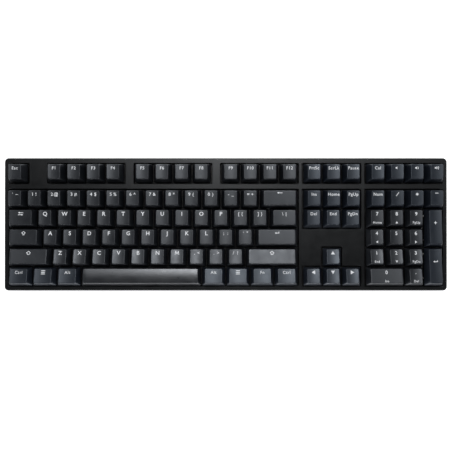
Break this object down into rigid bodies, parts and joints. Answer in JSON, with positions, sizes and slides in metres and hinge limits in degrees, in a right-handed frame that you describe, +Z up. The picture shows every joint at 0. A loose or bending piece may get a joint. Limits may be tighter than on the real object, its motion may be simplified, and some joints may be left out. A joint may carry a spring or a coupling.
{
  "type": "mechanical keyboard",
  "caption": "Full-size mechanical keyboard: low rectangular enclosure, sculpted dished keycaps that press down on sprung switches, long space bar, number pad and fold-out rear legs.",
  "frame": {"origin": "on the desk under the middle of the footprint", "axes": "+X to the right of the typist, +Y away from the typist, +Z up"},
  "size_m": [0.4386, 0.1311, 0.0402],
  "materials": {
    "case_plastic": "fine matte texture",
    "cap_grey": "matte, slightly pebbled",
    "cap_slate": "matte, slightly pebbled",
    "bar_plastic": "satin",
    "stem_plastic": "smooth moulded",
    "switch_housing": "smooth moulded",
    "contact_metal": "bright",
    "spring_steel": "drawn wire",
    "wire_steel": "drawn wire",
    "plate_steel": "powder coat",
    "board": "solder mask",
    "chip": "moulded epoxy",
    "socket_metal": "stamped",
    "screw_steel": "black oxide",
    "foot_rubber": "matte",
    "leg_plastic": "fine matte texture"
  },
  "bodies": {
    "enclosure": {"bottom_case": "case_plastic", "top_case": "case_plastic", "switch_plate": "plate_steel", "circuit_board": "board", "switch_bases": "switch_housing", "switch_tops": "switch_housing", "switch_contacts": "contact_metal", "switch_springs": "spring_steel", "stabiliser_housings": "switch_housing", "case_screws": "screw_steel", "rubber_feet": "foot_rubber", "usb_socket": "socket_metal", "controller_chip": "chip", "diodes": "chip"},
    "left_leg": {"tilt_leg_left": "leg_plastic"},
    "right_leg": {"tilt_leg_right": "leg_plastic"},
    "function_keys": {"function_keys_caps": "cap_grey", "function_keys_stems": "stem_plastic"},
    "system_keys": {"system_keys_caps": "cap_slate", "system_keys_stems": "stem_plastic"},
    "digit_row": {"digit_row_caps": "cap_grey", "digit_row_stems": "stem_plastic"},
    "top_row": {"top_row_caps": "cap_grey", "top_row_stems": "stem_plastic"},
    "home_row": {"home_row_caps": "cap_grey", "home_row_stems": "stem_plastic"},
    "lower_row": {"lower_row_caps": "cap_grey", "lower_row_stems": "stem_plastic"},
    "bottom_row": {"bottom_row_caps": "cap_slate", "bottom_row_stems": "stem_plastic"},
    "navigation": {"navigation_caps": "cap_slate", "navigation_stems": "stem_plastic"},
    "arrows": {"arrows_caps": "cap_slate", "arrows_stems": "stem_plastic"},
    "numpad": {"numpad_caps": "cap_grey", "numpad_stems": "stem_plastic"},
    "backspace": {"backspace_caps": "cap_grey", "backspace_stems": "stem_plastic"},
    "enter": {"enter_caps": "cap_grey", "enter_stems": "stem_plastic"},
    "left_shift": {"left_shift_caps": "cap_grey", "left_shift_stems": "stem_plastic"},
    "right_shift": {"right_shift_caps": "cap_grey", "right_shift_stems": "stem_plastic"},
    "space_bar": {"space_bar_caps": "bar_plastic", "space_bar_stems": "stem_plastic"},
    "numpad_zero": {"numpad_zero_caps": "cap_grey", "numpad_zero_stems": "stem_plastic"},
    "numpad_plus": {"numpad_plus_caps": "cap_slate", "numpad_plus_stems": "stem_plastic"},
    "numpad_enter": {"numpad_enter_caps": "cap_slate", "numpad_enter_stems": "stem_plastic"},
    "backspace_wire": {"backspace_wire": "wire_steel"},
    "enter_wire": {"enter_wire": "wire_steel"},
    "left_shift_wire": {"left_shift_wire": "wire_steel"},
    "right_shift_wire": {"right_shift_wire": "wire_steel"},
    "space_bar_wire": {"space_bar_wire": "wire_steel"},
    "numpad_zero_wire": {"numpad_zero_wire": "wire_steel"},
    "numpad_plus_wire": {"numpad_plus_wire": "wire_steel"},
    "numpad_enter_wire": {"numpad_enter_wire": "wire_steel"}
  },
  "joints": [
    {"name": "function_keys_press", "type": "slide", "parent": "enclosure", "child": "function_keys", "axis": [0, 0.1045, -0.9945], "range_m": [0, 0.004], "stiffness_N_per_m": 975, "springref_m": -0.004, "deforming": ["switch_springs"]},
    {"name": "system_keys_press", "type": "slide", "parent": "enclosure", "child": "system_keys", "axis": [0, 0.1045, -0.9945], "range_m": [0, 0.004], "stiffness_N_per_m": 525, "springref_m": -0.004, "deforming": ["switch_springs"]},
    {"name": "digit_row_press", "type": "slide", "parent": "enclosure", "child": "digit_row", "axis": [0, 0.1045, -0.9945], "range_m": [0, 0.004], "stiffness_N_per_m": 975, "springref_m": -0.004, "deforming": ["switch_springs"]},
    {"name": "top_row_press", "type": "slide", "parent": "enclosure", "child": "top_row", "axis": [0, 0.1045, -0.9945], "range_m": [0, 0.004], "stiffness_N_per_m": 1050, "springref_m": -0.004, "deforming": ["switch_springs"]},
    {"name": "home_row_press", "type": "slide", "parent": "enclosure", "child": "home_row", "axis": [0, 0.1045, -0.9945], "range_m": [0, 0.004], "stiffness_N_per_m": 900, "springref_m": -0.004, "deforming": ["switch_springs"]},
    {"name": "lower_row_press", "type": "slide", "parent": "enclosure", "child": "lower_row", "axis": [0, 0.1045, -0.9945], "range_m": [0, 0.004], "stiffness_N_per_m": 750, "springref_m": -0.004, "deforming": ["switch_springs"]},
    {"name": "bottom_row_press", "type": "slide", "parent": "enclosure", "child": "bottom_row", "axis": [0, 0.1045, -0.9945], "range_m": [0, 0.004], "stiffness_N_per_m": 525, "springref_m": -0.004, "deforming": ["switch_springs"]},
    {"name": "navigation_press", "type": "slide", "parent": "enclosure", "child": "navigation", "axis": [0, 0.1045, -0.9945], "range_m": [0, 0.004], "stiffness_N_per_m": 450, "springref_m": -0.004, "deforming": ["switch_springs"]},
    {"name": "arrows_press", "type": "slide", "parent": "enclosure", "child": "arrows", "axis": [0, 0.1045, -0.9945], "range_m": [0, 0.004], "stiffness_N_per_m": 300, "springref_m": -0.004, "deforming": ["switch_springs"]},
    {"name": "numpad_press", "type": "slide", "parent": "enclosure", "child": "numpad", "axis": [0, 0.1045, -0.9945], "range_m": [0, 0.004], "stiffness_N_per_m": 1050, "springref_m": -0.004, "deforming": ["switch_springs"]},
    {"name": "backspace_press", "type": "slide", "parent": "enclosure", "child": "backspace", "axis": [0, 0.1045, -0.9945], "range_m": [0, 0.004], "stiffness_N_per_m": 75, "springref_m": -0.004, "deforming": ["switch_springs"]},
    {"name": "enter_press", "type": "slide", "parent": "enclosure", "child": "enter", "axis": [0, 0.1045, -0.9945], "range_m": [0, 0.004], "stiffness_N_per_m": 75, "springref_m": -0.004, "deforming": ["switch_springs"]},
    {"name": "left_shift_press", "type": "slide", "parent": "enclosure", "child": "left_shift", "axis": [0, 0.1045, -0.9945], "range_m": [0, 0.004], "stiffness_N_per_m": 75, "springref_m": -0.004, "deforming": ["switch_springs"]},
    {"name": "right_shift_press", "type": "slide", "parent": "enclosure", "child": "right_shift", "axis": [0, 0.1045, -0.9945], "range_m": [0, 0.004], "stiffness_N_per_m": 75, "springref_m": -0.004, "deforming": ["switch_springs"]},
    {"name": "space_bar_press", "type": "slide", "parent": "enclosure", "child": "space_bar", "axis": [0, 0.1045, -0.9945], "range_m": [0, 0.004], "stiffness_N_per_m": 75, "springref_m": -0.004, "deforming": ["switch_springs"]},
    {"name": "numpad_zero_press", "type": "slide", "parent": "enclosure", "child": "numpad_zero", "axis": [0, 0.1045, -0.9945], "range_m": [0, 0.004], "stiffness_N_per_m": 75, "springref_m": -0.004, "deforming": ["switch_springs"]},
    {"name": "numpad_plus_press", "type": "slide", "parent": "enclosure", "child": "numpad_plus", "axis": [0, 0.1045, -0.9945], "range_m": [0, 0.004], "stiffness_N_per_m": 75, "springref_m": -0.004, "deforming": ["switch_springs"]},
    {"name": "numpad_enter_press", "type": "slide", "parent": "enclosure", "child": "numpad_enter", "axis": [0, 0.1045, -0.9945], "range_m": [0, 0.004], "stiffness_N_per_m": 75, "springref_m": -0.004, "deforming": ["switch_springs"]},
    {"name": "backspace_wire_turn", "type": "hinge", "parent": "enclosure", "child": "backspace_wire", "pos_m": [0.05239, 0.01612, 0.02041], "axis": [-1, 0, 0], "range_deg": [0, 28.96]},
    {"name": "enter_wire_turn", "type": "hinge", "parent": "enclosure", "child": "enter_wire", "pos_m": [0.05001, -0.02177, 0.01643], "axis": [-1, 0, 0], "range_deg": [0, 28.96]},
    {"name": "left_shift_wire_turn", "type": "hinge", "parent": "enclosure", "child": "left_shift_wire", "pos_m": [-0.19288, -0.04071, 0.01444], "axis": [-1, 0, 0], "range_deg": [0, 28.96]},
    {"name": "right_shift_wire_turn", "type": "hinge", "parent": "enclosure", "child": "right_shift_wire", "pos_m": [0.04524, -0.04071, 0.01444], "axis": [-1, 0, 0], "range_deg": [0, 28.96]},
    {"name": "space_bar_wire_turn", "type": "hinge", "parent": "enclosure", "child": "space_bar_wire", "pos_m": [-0.08334, -0.05966, 0.01245], "axis": [-1, 0, 0], "range_deg": [0, 28.96]},
    {"name": "numpad_zero_wire_turn", "type": "hinge", "parent": "enclosure", "child": "numpad_zero_wire", "pos_m": [0.15716, -0.05966, 0.01245], "axis": [-1, 0, 0], "range_deg": [0, 28.96]},
    {"name": "numpad_plus_wire_turn", "type": "hinge", "parent": "enclosure", "child": "numpad_plus_wire", "pos_m": [0.19589, -0.00344, 0.01836], "axis": [0, 0.9945, 0.1045], "range_deg": [0, 28.96]},
    {"name": "numpad_enter_wire_turn", "type": "hinge", "parent": "enclosure", "child": "numpad_enter_wire", "pos_m": [0.19589, -0.04133, 0.01437], "axis": [0, 0.9945, 0.1045], "range_deg": [0, 28.96]},
    {"name": "left_leg_fold", "type": "hinge", "parent": "enclosure", "child": "left_leg", "pos_m": [-0.15, 0.057, 0.0038], "axis": [1, 0, 0], "range_deg": [0, 90]},
    {"name": "right_leg_fold", "type": "hinge", "parent": "enclosure", "child": "right_leg", "pos_m": [0.15, 0.057, 0.0038], "axis": [1, 0, 0], "range_deg": [0, 90]}
  ],
  "couplings": [
    {"joint": "backspace_wire_turn", "follows": "backspace_press", "rad_per_m": 126.34},
    {"joint": "enter_wire_turn", "follows": "enter_press", "rad_per_m": 126.34},
    {"joint": "left_shift_wire_turn", "follows": "left_shift_press", "rad_per_m": 126.34},
    {"joint": "right_shift_wire_turn", "follows": "right_shift_press", "rad_per_m": 126.34},
    {"joint": "space_bar_wire_turn", "follows": "space_bar_press", "rad_per_m": 126.34},
    {"joint": "numpad_zero_wire_turn", "follows": "numpad_zero_press", "rad_per_m": 126.34},
    {"joint": "numpad_plus_wire_turn", "follows": "numpad_plus_press", "rad_per_m": 126.34},
    {"joint": "numpad_enter_wire_turn", "follows": "numpad_enter_press", "rad_per_m": 126.34}
  ]
}
